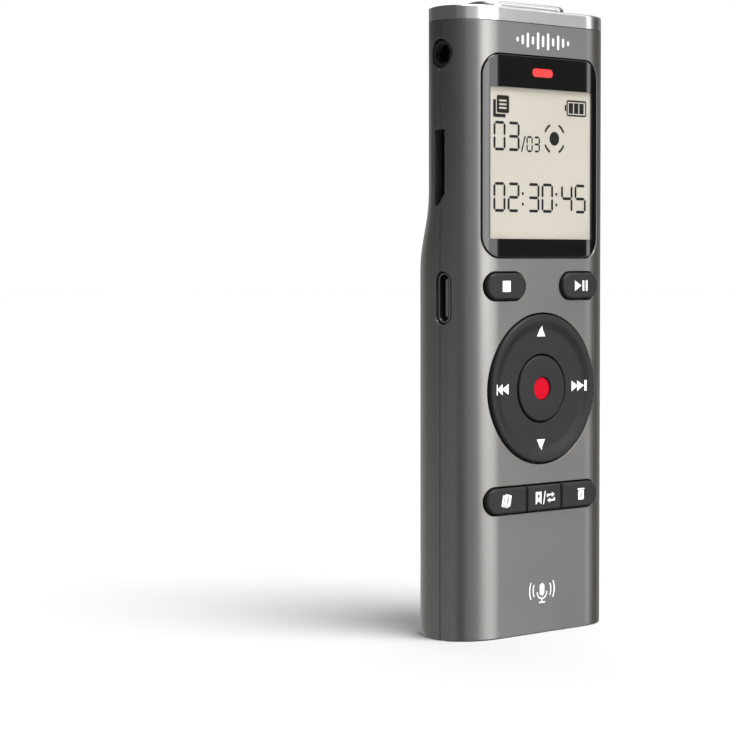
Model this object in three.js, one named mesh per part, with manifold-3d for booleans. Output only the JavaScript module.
// Handheld voice recorder: a slim two-shell body with a display, keys, a silver top cap and two AAA cells.
// Units are millimetres. +Z is up, the front face looks towards -Y, and the origin is under the body's centre.
import * as THREE from 'three';
import { mergeVertices } from 'three/addons/utils/BufferGeometryUtils.js';
import Module from 'manifold-3d';

const wasm = await Module();
wasm.setup();

// ---------- Body ----------
const HALF_WIDTH = 19.6;
const PARTING_Y = -2.0; // plane where the front and rear shells meet
const PARTING_GAP = 0.1;
const FRONT_Y = -8.2;
const REAR_LOWER_Y = 8.8; // back of the battery hump
const REAR_UPPER_Y = 5.6; // back of the slimmer upper part
const FRONT_CORNER = 8.8; // corner width across X
const REAR_CORNER = 9.25;
const CORNER_POWER = 2.1; // superellipse exponent of all four corners
const HUMP_END_Z = 68;
const SLIM_START_Z = 77;
const SHELL_TOP_Z = 109.35;
const SIDE_WALL = 1.4;
const FRONT_WALL = 1.3;
const REAR_WALL_LOWER = 2.0;
const REAR_WALL_UPPER = 1.4;
const FLOOR_WALL = 1.6;
const REAR_EDGE_ROUND = 1.2;
const FIT_GAP = 0.25; // clearance around keys, window and ports

// ---------- Top cap ----------
const CAP_BOTTOM_Z = SHELL_TOP_Z + 0.1;
const CAP_TOP_Z = 112;
const CAP_EDGE = 0.45;
const GRILLE_TOP_Z = 113.5;
const GRILLE = { width: 22, depth: 7.6, y: -1.2, recess: 0.5 };

// ---------- Display ----------
const WINDOW = { halfWidth: 14.95, low: 67.62, high: 103.75, radius: 4, thickness: 1.2 };
const LCD = { halfWidth: 13.8, low: 69.4, high: 99.2, front: -6.8, back: -5.3 };
const BACKLIGHT = { halfWidth: 13.4, low: 70.2, high: 98.6, front: -5.2, back: -4.75 };
const HOLDER = { halfWidth: 14.5, low: 68.2, high: 99.8, back: -5.0 };
const LED = { halfWidth: 2.6, low: 100, high: 101.5, lensBack: -6.0 };

// ---------- Keys ----------
const KEY_PROUD = 0.7;
const KEY_BACK_Y = -6.0;
const KEY_FLANGE = 0.6; // flange thickness and its overhang behind the front wall
const TOP_PILL = { inner: 4.4, outer: 14.5, low: 60.11, high: 65.29 };
const LOWER_PILL = { halfWidth: 14.5, low: 22.05, high: 27.13, seam: 4.45 };
const NAV = {
  z: 44.26, hole: 13.62, outer: 13.35, inner: 6.2, front: -8.7, dish: 0.7, recess: 9.5,
  lip: 14.2, lipFront: -6.4, lipHalf: 9,
};
const RECORD = { radius: 5.92, front: -8.3, flange: 6.8, dot: 2.05, dotFront: -8.05, dotBack: -7.5 };
const PIVOT = { inner: 7.2, outer: 9, front: -6.0, back: -5.65 };

// ---------- Inside ----------
const MEMBRANE = { halfWidth: 15.2, low: 20, high: 66.4, front: -5.3, back: -4.95 };
const DOME = { radius: 2.5, height: 0.22 };
const BOARD = { halfWidth: 16.2, low: 3, high: 108.4, front: -4.6, back: -3.6 };
const JACK = { y: -1.9, z: 103.55, recess: 2.6, nose: 2.3, bore: 1.8, half: 2.8, front: -16.8, back: -9.6 };
const USB = { y: -2.55, z: 60.68, halfHeight: 4.45, halfWidth: 1.5, wall: 0.3, mouth: -19.1, back: -12.5 };
const CARD = { y: -1.3, low: 76.96, high: 90.29, mouth: -17.6, back: -4 };
const CARD_SLOT = { front: -3.05, back: -0.45, chamferWidth: 1.5, chamferHeight: 2.1 }; // opening in the shells
const SLIDER = { y: -2.0, z: 84, halfLength: 2.8, halfWidth: 1.15, travel: 4, outer: 19.45, back: 16.6 };
const CHIPS = [
  { name: 'processor', material: 'plastic', x: [-3, 5], z: [66, 74], height: 0.9 },
  { name: 'memory_chip', material: 'plastic', x: [0.5, 11], z: [75, 89], height: 1 },
  { name: 'crystal', material: 'steel', x: [7, 10.2], z: [67, 69.5], height: 0.8 },
];
const SPEAKER = { z: 88, radius: 10, front: 0.2, back: 3.5 };
const SPEAKER_SLOTS = { rows: 3, pitch: 2.4, reach: 8, halfHeight: 0.5 }; // rows on each side of the middle one
const MIC = { x: 7, y: -1.2, radius: 2, low: 105.6, high: 107.1 };
const CELL = { radius: 5.1, length: 43.2, nub: 1.9, nubHeight: 0.9, x: 5.5, y: 2.2, lowLeft: 14.5, lowRight: 9.2 };
const TRAY = { halfWidth: 12, wall: 0.8, floor: 0.4, low: 7.6, high: 60.2, front: -3.5, back: 6.6 };
const CONTACT = { plate: 0.4, lower: 8.7, upper: 58.7, springTurns: 3, springRadius: 3.2, wire: 0.35 };
const DOOR = { halfWidth: 13.1, low: 0.3, high: 66, wall: 1.2, radius: 2.5 };
const DOOR_GROOVES = { count: 4, pitch: 1.6, halfWidth: 5, height: 0.7, depth: 0.3, fromTop: 9 };
const SCREW_SPOTS = [
  { name: 'lower_left_screw', x: -10, z: 4.8 },
  { name: 'lower_right_screw', x: 10, z: 4.8 },
  { name: 'middle_screw', x: 0, z: 63 },
];
const SCREW = { head: 1.5, headHeight: 0.9, shank: 0.7, tip: -5.6, seat: 2.6, boss: 1.7 };

const CORNER_STEPS = 8; // straight pieces in each corner of the plan section
const CURVE_STEPS = 5; // straight pieces in each rounded corner of an outline
const ROUND_STEPS = 24; // sides of the small round pieces
const RING_STEPS = 40; // sides of the large round pieces

// ---------- Colours ----------
const COLOURS = {
  body: [0x8a8884, 0.42, 0.6],
  cap: [0xd8d8d8, 0.18, 0.95],
  key: [0x37383b, 0.6, 0],
  black: [0x141517, 0.3, 0],
  red: [0xe6002d, 0.35, 0],
  lcd: [0xddd7cb, 0.5, 0],
  light: [0xf2f2ea, 0.5, 0],
  board: [0x1f5b3a, 0.5, 0],
  steel: [0xb9bbbe, 0.3, 1],
  rubber: [0x5a5c60, 0.8, 0],
  plastic: [0x2b2c2e, 0.6, 0],
  cell: [0x2f6db0, 0.35, 0.4],
};
const MATERIALS = Object.fromEntries(
  Object.entries(COLOURS).map(([name, [color, roughness, metalness]]) => [
    name,
    new THREE.MeshStandardMaterial({ color, roughness, metalness }),
  ]),
);

// ---------- Solids from three.js geometry ----------
function solid(geometry) {
  const bare = new THREE.BufferGeometry();
  bare.setAttribute('position', geometry.getAttribute('position'));
  bare.setIndex(geometry.index);
  const merged = mergeVertices(bare, 1e-4);
  const vertProperties = new Float32Array(merged.getAttribute('position').array);
  const triangles = [];
  const index = merged.index.array;
  let volume = 0;
  const a = new THREE.Vector3();
  const b = new THREE.Vector3();
  const c = new THREE.Vector3();
  for (let i = 0; i < index.length; i += 3) {
    const [p, q, r] = [index[i], index[i + 1], index[i + 2]];
    if (p === q || q === r || r === p) continue;
    triangles.push([p, q, r]);
    a.fromArray(vertProperties, 3 * p);
    b.fromArray(vertProperties, 3 * q);
    c.fromArray(vertProperties, 3 * r);
    volume += a.dot(b.cross(c));
  }
  const outward = volume > 0 ? triangles : triangles.map(([p, q, r]) => [p, r, q]);
  const triVerts = new Uint32Array(outward.flat());
  return new wasm.Manifold(new wasm.Mesh({ numProp: 3, vertProperties, triVerts }));
}

function geometryOf(manifold) {
  const mesh = manifold.getMesh();
  const geometry = new THREE.BufferGeometry();
  geometry.setAttribute('position', new THREE.BufferAttribute(mesh.vertProperties, 3));
  geometry.setIndex(new THREE.BufferAttribute(mesh.triVerts, 1));
  return geometry;
}

const join = (first, ...others) => others.reduce((whole, other) => whole.add(other), first);
const cut = (first, ...others) => others.reduce((whole, other) => whole.subtract(other), first);

function box(x0, x1, y0, y1, z0, z1) {
  const geometry = new THREE.BoxGeometry(x1 - x0, y1 - y0, z1 - z0);
  geometry.translate((x0 + x1) / 2, (y0 + y1) / 2, (z0 + z1) / 2);
  return solid(geometry);
}

// Extrudes an outline drawn in X and Z along Y.
function prismY(shape, y0, y1, curveSegments = CURVE_STEPS) {
  const geometry = new THREE.ExtrudeGeometry(shape, { depth: y1 - y0, bevelEnabled: false, curveSegments });
  geometry.rotateX(Math.PI / 2);
  geometry.translate(0, y1, 0);
  return solid(geometry);
}

// Extrudes an outline drawn in Y and Z along X.
function prismX(shape, x0, x1, curveSegments = CURVE_STEPS) {
  const geometry = new THREE.ExtrudeGeometry(shape, { depth: x1 - x0, bevelEnabled: false, curveSegments });
  const yAxis = new THREE.Vector3(0, 1, 0);
  const zAxis = new THREE.Vector3(0, 0, 1);
  const xAxis = new THREE.Vector3(1, 0, 0);
  geometry.applyMatrix4(new THREE.Matrix4().makeBasis(yAxis, zAxis, xAxis));
  geometry.translate(x0, 0, 0);
  return solid(geometry);
}

// Extrudes an outline drawn in X and Y along Z.
function prismZ(shape, z0, z1, curveSegments = CURVE_STEPS) {
  const geometry = new THREE.ExtrudeGeometry(shape, { depth: z1 - z0, bevelEnabled: false, curveSegments });
  geometry.translate(0, 0, z0);
  return solid(geometry);
}

function roundedRect(x0, x1, y0, y1, radius) {
  const shape = new THREE.Shape();
  shape.moveTo(x0 + radius, y0);
  shape.lineTo(x1 - radius, y0);
  shape.absarc(x1 - radius, y0 + radius, radius, -Math.PI / 2, 0, false);
  shape.lineTo(x1, y1 - radius);
  shape.absarc(x1 - radius, y1 - radius, radius, 0, Math.PI / 2, false);
  shape.lineTo(x0 + radius, y1);
  shape.absarc(x0 + radius, y1 - radius, radius, Math.PI / 2, Math.PI, false);
  shape.lineTo(x0, y0 + radius);
  shape.absarc(x0 + radius, y0 + radius, radius, Math.PI, 1.5 * Math.PI, false);
  return shape;
}

// Turns a profile of [radius, y] points about a line along Y through (x, z).
function turnedY(profile, x, z, steps = ROUND_STEPS) {
  const points = profile.map(([radius, y]) => new THREE.Vector2(radius, y));
  const geometry = new THREE.LatheGeometry(points, steps);
  geometry.translate(x, 0, z);
  return solid(geometry);
}

const discY = (x, z, radius, y0, y1, steps) =>
  turnedY([[0, y0], [radius, y0], [radius, y1], [0, y1]], x, z, steps);

// A round rod along X, centred on (y, z).
function rodX(y, z, radius, x0, x1, steps = ROUND_STEPS) {
  const geometry = new THREE.CylinderGeometry(radius, radius, x1 - x0, steps);
  geometry.rotateZ(Math.PI / 2);
  geometry.translate((x0 + x1) / 2, y, z);
  return solid(geometry);
}

// Turns a profile of [radius, z] points about a line along Z through (x, y).
function turnedZ(profile, x, y, steps = ROUND_STEPS) {
  const points = profile.map(([radius, z]) => new THREE.Vector2(radius, z));
  const geometry = new THREE.LatheGeometry(points, steps);
  geometry.rotateX(Math.PI / 2);
  geometry.translate(x, y, 0);
  return solid(geometry);
}

// ---------- Plan outline and loft ----------
function cornerPoints(centreX, cornerX, depth, steps) {
  const points = [];
  for (let i = 0; i <= steps; i += 1) {
    const angle = (i / steps) * (Math.PI / 2);
    const x = centreX + cornerX * Math.cos(angle) ** (2 / CORNER_POWER);
    const y = depth * Math.sin(angle) ** (2 / CORNER_POWER);
    points.push([x, y]);
  }
  return points;
}

// Plan section with its walls moved inwards by the given amounts (negative moves them outwards).
function planShape(side, front, rear, steps = CORNER_STEPS) {
  const flat = HALF_WIDTH - FRONT_CORNER;
  const rearFlat = HALF_WIDTH - REAR_CORNER;
  const frontDepth = PARTING_Y - FRONT_Y - front;
  const rearDepth = REAR_LOWER_Y - PARTING_Y - rear;
  const fore = cornerPoints(flat, FRONT_CORNER - side, frontDepth, steps);
  const aft = cornerPoints(rearFlat, REAR_CORNER - side, rearDepth, steps);
  const rightFront = fore.map(([x, y]) => [x, PARTING_Y - y]);
  const rightRear = aft.map(([x, y]) => [x, PARTING_Y + y]);
  const right = [...rightFront.slice(1).reverse(), ...rightRear];
  const left = right.map(([x, y]) => [-x, y]).reverse();
  return new THREE.Shape([...right, ...left].map(([x, y]) => new THREE.Vector2(x, y)));
}

// Stacks the plan section through stations, each with its own height and rear depth.
function loft(shape, stations, rear) {
  const options = { depth: stations.length - 1, steps: stations.length - 1, bevelEnabled: false };
  const geometry = new THREE.ExtrudeGeometry(shape, options);
  const position = geometry.getAttribute('position');
  const fullDepth = REAR_LOWER_Y - rear - PARTING_Y;
  for (let i = 0; i < position.count; i += 1) {
    const station = stations[Math.round(position.getZ(i))];
    const y = position.getY(i);
    const scale = (station.rearY - PARTING_Y) / fullDepth;
    position.setY(i, y > PARTING_Y ? PARTING_Y + (y - PARTING_Y) * scale : y);
    position.setZ(i, station.z);
  }
  return solid(geometry);
}

function bodyLoft(inset, bottomZ, topZ, roundedBottom) {
  const stations = [];
  if (roundedBottom) {
    for (let i = 0; i < 3; i += 1) {
      const angle = (i / 3) * (Math.PI / 2);
      stations.push({
        z: bottomZ + REAR_EDGE_ROUND * (1 - Math.cos(angle)),
        rearY: REAR_LOWER_Y - inset.rear - REAR_EDGE_ROUND * (1 - Math.sin(angle)),
      });
    }
    stations.push({ z: bottomZ + REAR_EDGE_ROUND, rearY: REAR_LOWER_Y - inset.rear });
  } else {
    stations.push({ z: bottomZ, rearY: REAR_LOWER_Y - inset.rear });
  }
  stations.push({ z: HUMP_END_Z - inset.slope, rearY: REAR_LOWER_Y - inset.rear });
  stations.push({ z: SLIM_START_Z - inset.slope, rearY: REAR_UPPER_Y - inset.upper });
  stations.push({ z: topZ, rearY: REAR_UPPER_Y - inset.upper });
  return loft(planShape(inset.side, inset.front, inset.rear), stations, inset.rear);
}

const even = (amount) => ({
  side: amount, front: amount, rear: amount, upper: amount, slope: amount / 3,
});
const cavityInset = {
  side: SIDE_WALL, front: FRONT_WALL, rear: REAR_WALL_LOWER, upper: REAR_WALL_UPPER, slope: 0.5,
};

const outer = bodyLoft(even(0), 0, SHELL_TOP_Z, true);
const proud = bodyLoft(even(-KEY_PROUD), 0, SHELL_TOP_Z, false);
const cavity = bodyLoft(cavityInset, FLOOR_WALL, SHELL_TOP_Z + 1, false);
const packed = bodyLoft(even(FRONT_WALL + 0.3), FLOOR_WALL, SHELL_TOP_Z, false);
const doorBack = bodyLoft(even(DOOR.wall), -1, SHELL_TOP_Z, false);
const doorSeat = bodyLoft(even(DOOR.wall + 0.15), -2, SHELL_TOP_Z, false);

// ---------- Outlines ----------
const halfRound = (x0, x1, z0, z1) => roundedRect(x0, x1, z0, z1, (z1 - z0) / 2 - 0.01);
const windowShape = (gap) => roundedRect(
  -WINDOW.halfWidth + gap, WINDOW.halfWidth - gap, WINDOW.low + gap, WINDOW.high - gap, WINDOW.radius - gap,
);
const ledShape = (gap) => halfRound(
  -LED.halfWidth + gap, LED.halfWidth - gap, LED.low + gap, LED.high - gap,
);
const stopShape = (gap) => halfRound(
  -TOP_PILL.outer + gap, -TOP_PILL.inner - gap, TOP_PILL.low + gap, TOP_PILL.high - gap,
);
const playShape = (gap) => halfRound(
  TOP_PILL.inner + gap, TOP_PILL.outer - gap, TOP_PILL.low + gap, TOP_PILL.high - gap,
);
const lowerShape = (gap) => halfRound(
  -LOWER_PILL.halfWidth + gap, LOWER_PILL.halfWidth - gap, LOWER_PILL.low + gap, LOWER_PILL.high - gap,
);

// ---------- Port and fastening tools ----------
const usbShape = (gap) => roundedRect(
  USB.y - USB.halfWidth - gap, USB.y + USB.halfWidth + gap,
  USB.z - USB.halfHeight - gap, USB.z + USB.halfHeight + gap, USB.halfWidth + gap - 0.01,
);
const cardShape = () => {
  const shape = new THREE.Shape();
  shape.moveTo(CARD_SLOT.front, CARD.low + CARD_SLOT.chamferHeight);
  shape.lineTo(CARD_SLOT.front + CARD_SLOT.chamferWidth, CARD.low);
  shape.lineTo(CARD_SLOT.back, CARD.low);
  shape.lineTo(CARD_SLOT.back, CARD.high);
  shape.lineTo(CARD_SLOT.front, CARD.high);
  return shape;
};
const sliderHole = prismX(roundedRect(
  SLIDER.y - SLIDER.halfWidth - FIT_GAP, SLIDER.y + SLIDER.halfWidth + FIT_GAP,
  SLIDER.z - SLIDER.halfLength - FIT_GAP, SLIDER.z + SLIDER.halfLength + SLIDER.travel + FIT_GAP, 0.8,
), SLIDER.back, HALF_WIDTH + 1);
const sidePorts = [
  rodX(JACK.y, JACK.z, JACK.recess, -HALF_WIDTH - 1, -HALF_WIDTH + 2.6),
  prismX(usbShape(FIT_GAP), -HALF_WIDTH - 1, -HALF_WIDTH + 3),
  prismX(cardShape(), -HALF_WIDTH - 1, -HALF_WIDTH + 3),
  sliderHole,
];
const frontHalf = box(-30, 30, -20, PARTING_Y - PARTING_GAP / 2, -5, 130);
const rearHalf = box(-30, 30, PARTING_Y + PARTING_GAP / 2, 20, -5, 130);

// ---------- Shells ----------
function makeFrontShell() {
  const bosses = SCREW_SPOTS.map(({ x, z }) =>
    discY(x, z, SCREW.boss, FRONT_Y + 0.6, PARTING_Y - 0.2, 16).intersect(outer));
  const pilotHoles = SCREW_SPOTS.map(({ x, z }) => discY(x, z, SCREW.shank + 0.15, SCREW.tip - 0.3, 0, 16));
  const walls = cut(outer.intersect(frontHalf), cavity);
  return cut(
    join(walls, ...bosses), ...pilotHoles, ...sidePorts,
    prismY(windowShape(0), FRONT_Y - 2, FRONT_Y + 3),
    prismY(stopShape(0), FRONT_Y - 2, FRONT_Y + 3),
    prismY(playShape(0), FRONT_Y - 2, FRONT_Y + 3),
    prismY(lowerShape(0), FRONT_Y - 2, FRONT_Y + 3),
    discY(0, NAV.z, NAV.hole, FRONT_Y - 2, FRONT_Y + 3, RING_STEPS),
  );
}

function speakerSlots() {
  const { rows, pitch, reach, halfHeight } = SPEAKER_SLOTS;
  const slots = [];
  for (let row = -rows; row <= rows; row += 1) {
    const half = Math.sqrt(reach ** 2 - (row * pitch) ** 2);
    const z = SPEAKER.z + row * pitch;
    const slot = halfRound(-half, half, z - halfHeight, z + halfHeight);
    slots.push(prismY(slot, REAR_UPPER_Y - 2.5, REAR_UPPER_Y + 1, 3));
  }
  return slots;
}

function makeRearShell() {
  const bosses = SCREW_SPOTS.map(({ x, z }) =>
    discY(x, z, SCREW.boss + 0.5, PARTING_Y + 0.2, 12, 16).intersect(outer));
  const holes = SCREW_SPOTS.flatMap(({ x, z }) => [
    discY(x, z, SCREW.shank + 0.25, PARTING_Y - 1, SCREW.seat + 1, 16),
    discY(x, z, SCREW.head + 0.25, SCREW.seat, 12, 16),
  ]);
  const walls = cut(outer.intersect(rearHalf), cavity);
  const slot = roundedRect(-DOOR.halfWidth - 0.3, DOOR.halfWidth + 0.3, -6, DOOR.high + 0.3, DOOR.radius + 0.3);
  const doorSlot = cut(prismY(slot, 2, 12), doorSeat);
  const opening = prismY(roundedRect(-12.2, 12.2, TRAY.low - 0.2, TRAY.high + 0.2, 0.5), 4, 12, 3);
  return cut(join(walls, ...bosses), ...holes, ...sidePorts, doorSlot, opening, ...speakerSlots());
}

function makeDoor() {
  const outline = roundedRect(-DOOR.halfWidth, DOOR.halfWidth, DOOR.low - 6, DOOR.high, DOOR.radius);
  const panel = cut(outer.intersect(prismY(outline, 2, 12)), doorBack);
  const body = panel.intersect(box(-20, 20, 2, 12, DOOR.low, DOOR.high + 1));
  const { count, pitch, halfWidth, height, depth, fromTop } = DOOR_GROOVES;
  const grooves = [];
  for (let i = 0; i < count; i += 1) {
    const z = DOOR.high - fromTop - pitch * i;
    grooves.push(box(-halfWidth, halfWidth, REAR_LOWER_Y - depth, REAR_LOWER_Y + 1, z, z + height));
  }
  return cut(body, ...grooves);
}

// ---------- Cap ----------
const grilleShape = (gap) => roundedRect(
  -GRILLE.width / 2 - gap, GRILLE.width / 2 + gap,
  GRILLE.y - GRILLE.depth / 2 - gap, GRILLE.y + GRILLE.depth / 2 + gap, GRILLE.depth / 2 + gap - 0.01,
);
const soundHoles = (radius, z0, z1) => [-MIC.x, MIC.x].map((x) =>
  turnedZ([[0, z0], [radius, z0], [radius, z1], [0, z1]], x, MIC.y, 16));

function makeCap() {
  const stations = [
    { z: CAP_BOTTOM_Z, rearY: REAR_UPPER_Y },
    { z: CAP_TOP_Z - CAP_EDGE, rearY: REAR_UPPER_Y },
  ];
  const lid = loft(planShape(0, 0, 0), stations, 0);
  const crownStations = [
    { z: CAP_TOP_Z - CAP_EDGE, rearY: REAR_UPPER_Y - CAP_EDGE / 2 },
    { z: CAP_TOP_Z, rearY: REAR_UPPER_Y - CAP_EDGE },
  ];
  const crown = loft(planShape(CAP_EDGE, CAP_EDGE, CAP_EDGE), crownStations, CAP_EDGE);
  const tongueStations = [
    { z: CAP_BOTTOM_Z - 1.2, rearY: REAR_UPPER_Y - REAR_WALL_UPPER - 0.3 },
    { z: CAP_BOTTOM_Z + 0.5, rearY: REAR_UPPER_Y - REAR_WALL_UPPER - 0.3 },
  ];
  const tongue = loft(planShape(1.7, 1.6, 1.7), tongueStations, 1.7);
  const hollowStations = [
    { z: CAP_BOTTOM_Z - 2, rearY: REAR_UPPER_Y - 2.9 },
    { z: CAP_TOP_Z - 1.3, rearY: REAR_UPPER_Y - 2.9 },
  ];
  const hollow = loft(planShape(2.9, 2.8, 2.9), hollowStations, 2.9);
  const recess = prismZ(grilleShape(0.15), CAP_TOP_Z - GRILLE.recess, CAP_TOP_Z + 1);
  return cut(join(lid, crown, tongue), hollow, recess, ...soundHoles(1.5, CAP_TOP_Z - 3, CAP_TOP_Z + 1));
}

function makeGrille() {
  const plate = prismZ(grilleShape(0), CAP_TOP_Z - GRILLE.recess + 0.1, GRILLE_TOP_Z);
  const slots = [];
  for (const centre of [-MIC.x, MIC.x]) {
    for (let i = -1; i <= 1; i += 1) {
      const x = centre + 0.9 * i;
      slots.push(box(x - 0.2, x + 0.2, GRILLE.y - 1.1, GRILLE.y + 1.1, CAP_TOP_Z - 2, GRILLE_TOP_Z + 1));
    }
  }
  return cut(plate, ...slots);
}

// ---------- Display ----------
function makeWindow() {
  const plate = prismY(windowShape(0.15), FRONT_Y - 1, FRONT_Y + WINDOW.thickness).intersect(outer);
  return cut(plate, prismY(ledShape(-0.1), FRONT_Y - 2, FRONT_Y + 3, 4));
}

function makeHolder() {
  const frame = roundedRect(-HOLDER.halfWidth, HOLDER.halfWidth, HOLDER.low, HOLDER.high, 1);
  const body = prismY(frame, LCD.front, HOLDER.back).intersect(packed);
  const gap = 0.15;
  return cut(body, box(
    -LCD.halfWidth - gap, LCD.halfWidth + gap, LCD.front - 1, HOLDER.back + 1, LCD.low - gap, LCD.high + gap,
  ));
}

// ---------- Keys ----------
function makeKey(shapeOf, extraCut) {
  const cap = prismY(shapeOf(FIT_GAP), FRONT_Y - 3, KEY_BACK_Y).intersect(proud);
  const flange = prismY(shapeOf(-KEY_FLANGE), KEY_BACK_Y - KEY_FLANGE, KEY_BACK_Y).intersect(packed);
  const key = join(cap, flange);
  return extraCut ? key.intersect(extraCut) : key;
}

const keyBand = (x0, x1) => box(x0, x1, -12, 0, 15, 35);

// The ring rocks on its pad; a lip behind the wall at its top and bottom holds it in.
function makeNavRing() {
  const ring = turnedY([
    [NAV.inner, NAV.front + NAV.dish + 0.2], [NAV.inner + 0.25, NAV.front + NAV.dish],
    [NAV.outer - 2.6, NAV.front + NAV.dish], [NAV.outer - 0.9, NAV.front],
    [NAV.outer - 0.3, NAV.front + 0.15], [NAV.outer, NAV.front + 0.45],
    [NAV.outer, KEY_BACK_Y], [NAV.recess, KEY_BACK_Y], [NAV.recess, NAV.lipFront + 0.1],
    [NAV.inner, NAV.lipFront + 0.1], [NAV.inner, NAV.front + NAV.dish + 0.2],
  ], 0, NAV.z, RING_STEPS);
  const lip = ringY(0, NAV.z, NAV.outer - 1, NAV.lip, NAV.lipFront, KEY_BACK_Y, RING_STEPS);
  return join(ring, lip.intersect(box(-NAV.lipHalf, NAV.lipHalf, -10, 0, 0, 100)));
}

function makeRecordButton() {
  const body = turnedY([
    [0, RECORD.front], [5, RECORD.front], [5.7, RECORD.front + 0.1], [RECORD.radius, RECORD.front + 0.4],
    [RECORD.radius, -5.95], [RECORD.flange, -5.95], [RECORD.flange, PIVOT.back - 0.05], [0, PIVOT.back - 0.05],
  ], 0, NAV.z, RING_STEPS);
  return cut(body, discY(0, NAV.z, RECORD.dot + 0.05, RECORD.front - 1, RECORD.dotBack + 0.05, 32));
}

// ---------- Electronics ----------
const bossHoles = () => SCREW_SPOTS.map(({ x, z }) => discY(x, z, SCREW.boss + 0.35, -8, 0, 16));

function makeMembrane() {
  const outline = roundedRect(-MEMBRANE.halfWidth, MEMBRANE.halfWidth, MEMBRANE.low, MEMBRANE.high, 2);
  return cut(prismY(outline, MEMBRANE.front, MEMBRANE.back), ...bossHoles());
}

function makeBoard() {
  const outline = roundedRect(-BOARD.halfWidth, BOARD.halfWidth, BOARD.low, BOARD.high, 2);
  const jackNotch = box(-25, JACK.back + 0.4, -8, 0, JACK.z - JACK.half - 0.4, 120);
  const usbReach = USB.halfHeight + 0.3;
  const usbNotch = box(-25, USB.back + 0.3, -8, 0, USB.z - usbReach, USB.z + usbReach);
  return cut(prismY(outline, BOARD.front, BOARD.back), ...bossHoles(), jackNotch, usbNotch);
}

function makeJack() {
  const { y, z, half } = JACK;
  const body = box(JACK.front, JACK.back, y - half, y + half, z - half, z + half);
  const nose = rodX(JACK.y, JACK.z, JACK.nose, -HALF_WIDTH + 0.7, -16.5);
  return cut(join(body, nose), rodX(JACK.y, JACK.z, JACK.bore, -25, JACK.back - 1.2));
}

function makeUsb() {
  const sleeve = prismX(usbShape(0), USB.mouth, USB.back);
  const hollow = prismX(usbShape(-USB.wall), USB.mouth - 1, USB.back - 1);
  const tongue = box(USB.mouth + 0.8, USB.back - 0.5, USB.y - 0.35, USB.y + 0.35, USB.z - 3.35, USB.z + 3.35);
  return join(cut(sleeve, hollow), tongue);
}

function makeCardSocket() {
  const body = box(CARD.mouth, CARD.back, BOARD.back + 0.1, CARD.y + 1.4, CARD.low - 0.6, CARD.high + 0.6);
  const slot = box(CARD.mouth - 1, CARD.back - 1.5, CARD.y - 0.55, CARD.y + 0.55, CARD.low + 1, CARD.high - 1);
  return cut(body, slot);
}

function makeSlider() {
  const shape = roundedRect(
    SLIDER.y - SLIDER.halfWidth, SLIDER.y + SLIDER.halfWidth,
    SLIDER.z - SLIDER.halfLength, SLIDER.z + SLIDER.halfLength, 0.6,
  );
  const grooves = [];
  for (let i = -2; i <= 2; i += 1) {
    const z = SLIDER.z + 0.9 * i;
    grooves.push(box(SLIDER.outer - 0.3, SLIDER.outer + 1, -6, 4, z - 0.2, z + 0.2));
  }
  const flange = box(
    SLIDER.back, SLIDER.back + 0.7, SLIDER.y - 1.6, SLIDER.y + 1.6,
    SLIDER.z - SLIDER.halfLength - 0.7, SLIDER.z + SLIDER.halfLength + 0.7,
  );
  return cut(join(prismX(shape, SLIDER.back, SLIDER.outer), flange), ...grooves);
}

function makeSpeaker() {
  return turnedY([
    [0, SPEAKER.front], [5, SPEAKER.front], [5, SPEAKER.front + 1.2], [SPEAKER.radius - 0.8, SPEAKER.front + 1.6],
    [SPEAKER.radius, SPEAKER.front + 2.2], [SPEAKER.radius, SPEAKER.back], [SPEAKER.radius - 1, SPEAKER.back],
    [4, SPEAKER.back - 0.9], [2, SPEAKER.back - 0.5], [0, SPEAKER.back - 0.3],
  ], 0, SPEAKER.z, 32);
}

function ringY(x, z, inner, outerRadius, y0, y1, steps) {
  return turnedY([[inner, y0], [outerRadius, y0], [outerRadius, y1], [inner, y1], [inner, y0]], x, z, steps);
}

// ---------- Battery bay ----------
function makeTray() {
  const shell = box(-TRAY.halfWidth, TRAY.halfWidth, TRAY.front, TRAY.back, TRAY.low, TRAY.high);
  return cut(shell, box(
    -TRAY.halfWidth + TRAY.wall, TRAY.halfWidth - TRAY.wall, TRAY.front + TRAY.floor, TRAY.back + 1,
    TRAY.low + TRAY.wall, TRAY.high - TRAY.wall,
  ));
}

// A dry cell standing on Z; its positive nub points up or down.
function makeCell(x, base, nubUp) {
  const low = nubUp ? 0 : CELL.nubHeight;
  const high = low + CELL.length;
  const edge = 0.4;
  const profile = [[0, low], [CELL.radius - edge, low], [CELL.radius, low + edge],
    [CELL.radius, high - edge], [CELL.radius - edge, high], [0, high]];
  const nubLow = nubUp ? high - 0.5 : 0;
  const nubHigh = nubLow + CELL.nubHeight + 0.5;
  const nub = [[0, nubLow], [CELL.nub, nubLow], [CELL.nub, nubHigh], [0, nubHigh]];
  const lift = ([radius, z]) => [radius, z + base];
  return join(
    turnedZ(profile.map(lift), x, CELL.y, 32),
    turnedZ(nub.map(lift), x, CELL.y, 32),
  );
}

class ContactHelix extends THREE.Curve {
  constructor(x, low, high) {
    super();
    this.x = x;
    this.low = low;
    this.high = high;
  }

  getPoint(t, target = new THREE.Vector3()) {
    const angle = 2 * Math.PI * CONTACT.springTurns * t;
    const radius = CONTACT.springRadius * (1 - 0.35 * t);
    const z = this.low + (this.high - this.low) * t;
    return target.set(this.x + radius * Math.cos(angle), CELL.y + radius * Math.sin(angle), z);
  }
}

function makeSpring(x, low, high) {
  const section = new THREE.Shape();
  section.absarc(0, 0, CONTACT.wire, 0, 2 * Math.PI, false);
  return solid(new THREE.ExtrudeGeometry(section, {
    steps: 36, curveSegments: 5, bevelEnabled: false, extrudePath: new ContactHelix(x, low, high),
  }));
}

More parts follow.
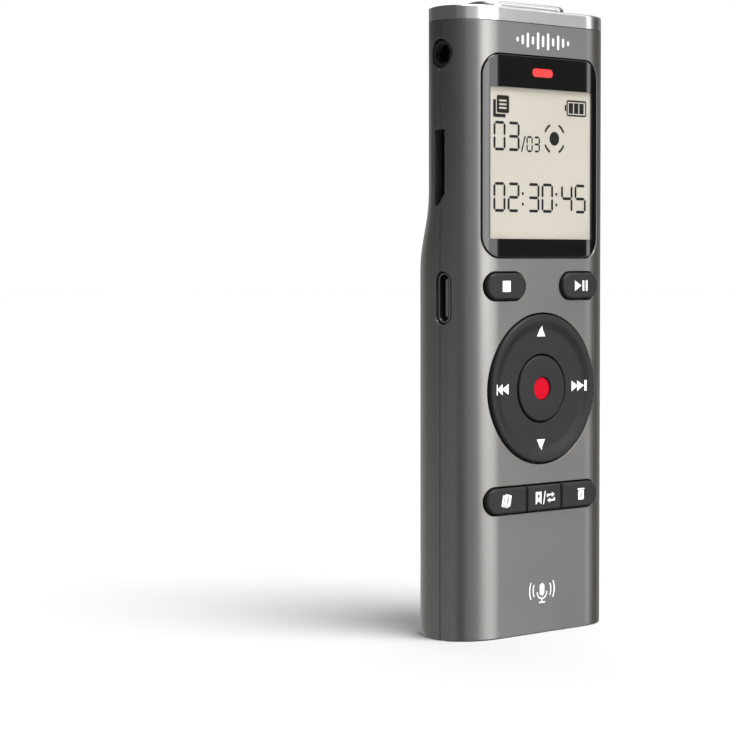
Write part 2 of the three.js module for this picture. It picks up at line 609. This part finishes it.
function makeScrew({ x, z }) {
  const under = SCREW.seat + 0.1;
  const top = under + SCREW.headHeight;
  const body = turnedY([
    [0, SCREW.tip], [SCREW.shank, SCREW.tip + 0.5], [SCREW.shank, under], [SCREW.head, under],
    [SCREW.head, top - 0.3], [SCREW.head - 0.4, top], [0, top],
  ], x, z, 16);
  const arm = 0.85;
  const half = 0.2;
  return cut(
    body,
    box(x - arm, x + arm, top - 0.5, top + 1, z - half, z + half),
    box(x - half, x + half, top - 0.5, top + 1, z - arm, z + arm),
  );
}

// ---------- Assembly ----------
const recorder = new THREE.Group();

function place(name, material, manifold) {
  const mesh = new THREE.Mesh(geometryOf(manifold), MATERIALS[material]);
  mesh.name = name;
  recorder.add(mesh);
}

place('front_shell', 'body', makeFrontShell());
place('rear_shell', 'body', makeRearShell());
place('battery_door', 'body', makeDoor());
place('top_cap', 'cap', makeCap());
place('mic_grille', 'cap', makeGrille());

place('display_window', 'black', makeWindow());
place('record_led_lens', 'red', prismY(ledShape(0), FRONT_Y, LED.lensBack, 4));
place('record_led', 'light', box(
  -1.6, 1.6, LED.lensBack + 0.3, BOARD.front - 0.05, LED.low + 0.1, LED.high - 0.1,
));
place('lcd_panel', 'lcd', box(-LCD.halfWidth, LCD.halfWidth, LCD.front, LCD.back, LCD.low, LCD.high));
place('lcd_backlight', 'light', box(
  -BACKLIGHT.halfWidth, BACKLIGHT.halfWidth, BACKLIGHT.front, BACKLIGHT.back, BACKLIGHT.low, BACKLIGHT.high,
));
place('lcd_holder', 'plastic', makeHolder());

place('stop_button', 'key', makeKey(stopShape));
place('play_pause_button', 'key', makeKey(playShape));
const seamHalf = 0.1;
const { seam } = LOWER_PILL;
place('file_button', 'key', makeKey(lowerShape, keyBand(-25, -seam - seamHalf)));
place('bookmark_button', 'key', makeKey(lowerShape, keyBand(-seam + seamHalf, seam - seamHalf)));
place('delete_button', 'key', makeKey(lowerShape, keyBand(seam + seamHalf, 25)));
place('nav_ring', 'key', makeNavRing());
place('nav_pivot', 'rubber', ringY(0, NAV.z, PIVOT.inner, PIVOT.outer, PIVOT.front, PIVOT.back, 32));
place('record_button', 'key', makeRecordButton());
place('record_dot', 'red', discY(0, NAV.z, RECORD.dot, RECORD.dotFront, RECORD.dotBack, 32));

place('keypad_membrane', 'rubber', makeMembrane());
const keyHeight = (TOP_PILL.low + TOP_PILL.high) / 2;
const lowerHeight = (LOWER_PILL.low + LOWER_PILL.high) / 2;
const navReach = 10;
const DOMES = {
  stop: [-9.4, keyHeight], play: [9.4, keyHeight], file: [-9.4, lowerHeight], bookmark: [0, lowerHeight],
  delete: [9.4, lowerHeight], up: [0, NAV.z + navReach], down: [0, NAV.z - navReach],
  back: [-navReach, NAV.z], forward: [navReach, NAV.z], record: [0, NAV.z],
};
for (const [name, [x, z]] of Object.entries(DOMES)) {
  const base = BOARD.front - 0.02;
  place(`${name}_dome`, 'steel', turnedY([
    [0, base - DOME.height], [DOME.radius * 0.6, base - DOME.height * 0.8], [DOME.radius, base - 0.08],
    [DOME.radius, base], [0, base],
  ], x, z, 16));
}

place('main_board', 'board', makeBoard());
for (const { name, material, x, z, height } of CHIPS) {
  const seat = BOARD.back + 0.05;
  place(name, material, box(...x, seat, seat + height, ...z));
}
place('headphone_jack', 'black', makeJack());
place('usb_c_socket', 'steel', makeUsb());
place('microsd_socket', 'steel', makeCardSocket());
place('power_slider', 'key', makeSlider());
place('power_switch', 'plastic', box(
  12, SLIDER.back - 0.3, BOARD.back + 0.05, BOARD.back + 2.6, SLIDER.z - 3.5, SLIDER.z + 7.5,
));
place('speaker', 'black', makeSpeaker());
place('speaker_gasket', 'rubber', ringY(0, SPEAKER.z, 8.6, 10, SPEAKER.back + 0.1, SPEAKER.back + 0.6, 32));
for (const [side, x] of [['left', -MIC.x], ['right', MIC.x]]) {
  place(`${side}_microphone`, 'steel', turnedZ([
    [0, MIC.low], [MIC.radius, MIC.low], [MIC.radius, MIC.high], [0, MIC.high],
  ], x, MIC.y));
  place(`${side}_mic_boot`, 'rubber', turnedZ([
    [0.6, MIC.high + 0.1], [MIC.radius, MIC.high + 0.1], [MIC.radius, CAP_TOP_Z - 1.5],
    [0.6, CAP_TOP_Z - 1.5], [0.6, MIC.high + 0.1],
  ], x, MIC.y));
}

place('battery_tray', 'plastic', makeTray());
place('left_battery', 'cell', makeCell(-CELL.x, CELL.lowLeft, true));
place('right_battery', 'cell', makeCell(CELL.x, CELL.lowRight, false));
const plateY = [CELL.y - 4.2, CELL.y + 4.2];
const rightCellTop = CELL.lowRight + CELL.nubHeight + CELL.length;
const springGap = CONTACT.wire + 0.15;
place('lower_contact_bridge', 'steel', box(
  -10, 10, ...plateY, CONTACT.lower, CONTACT.lower + CONTACT.plate,
));
place('left_contact_spring', 'steel', makeSpring(
  -CELL.x, CONTACT.lower + CONTACT.plate + springGap, CELL.lowLeft - springGap,
));
place('right_contact_spring', 'steel', makeSpring(
  CELL.x, CONTACT.upper - springGap, rightCellTop + springGap,
));
place('upper_contact_plate', 'steel', box(
  -CELL.x - 3.5, -CELL.x + 3.5, ...plateY, CONTACT.upper, CONTACT.upper + CONTACT.plate,
));
place('upper_spring_plate', 'steel', box(
  CELL.x - 3.5, CELL.x + 3.5, ...plateY, CONTACT.upper, CONTACT.upper + CONTACT.plate,
));
for (const spot of SCREW_SPOTS) {
  place(spot.name, 'steel', makeScrew(spot));
}

export default recorder;
